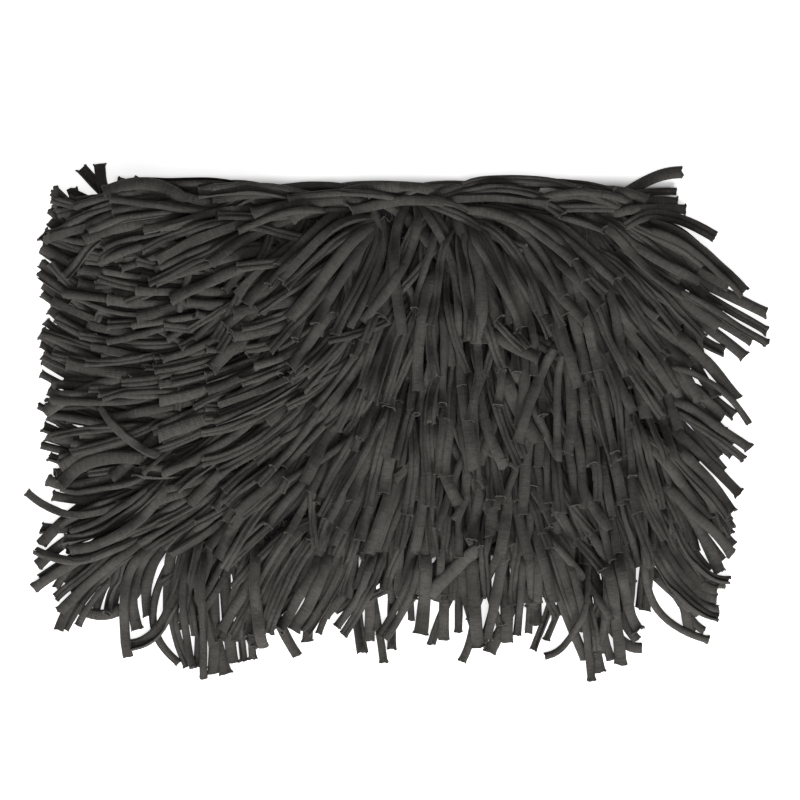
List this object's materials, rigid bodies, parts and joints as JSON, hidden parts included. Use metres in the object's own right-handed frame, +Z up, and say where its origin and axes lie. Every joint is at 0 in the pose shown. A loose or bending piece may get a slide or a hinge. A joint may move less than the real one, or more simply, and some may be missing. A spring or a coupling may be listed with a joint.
{
  "type": "snuffle mat",
  "caption": "Flat pet foraging mat: a thin anti-slip backing sheet under a thick shaggy pile of combed, rolled-edge jersey strips that hang out past its edges.",
  "frame": {"origin": "middle of the backing sheet's underside, on the surface that the mat lies on", "axes": "+X along the mat's length, +Y along its width towards the edge that is at the top of the picture, +Z up"},
  "size_m": [0.4409, 0.3246, 0.03],
  "materials": {
    "anti_slip_backing": "matt dark grey open mesh with a beaded anti-slip coating",
    "charcoal_jersey": "matt charcoal single-jersey knit, cut edges rolled in"
  },
  "bodies": {
    "root": {"backing_sheet": "anti_slip_backing", "pile": "charcoal_jersey"}
  },
  "joints": []
}
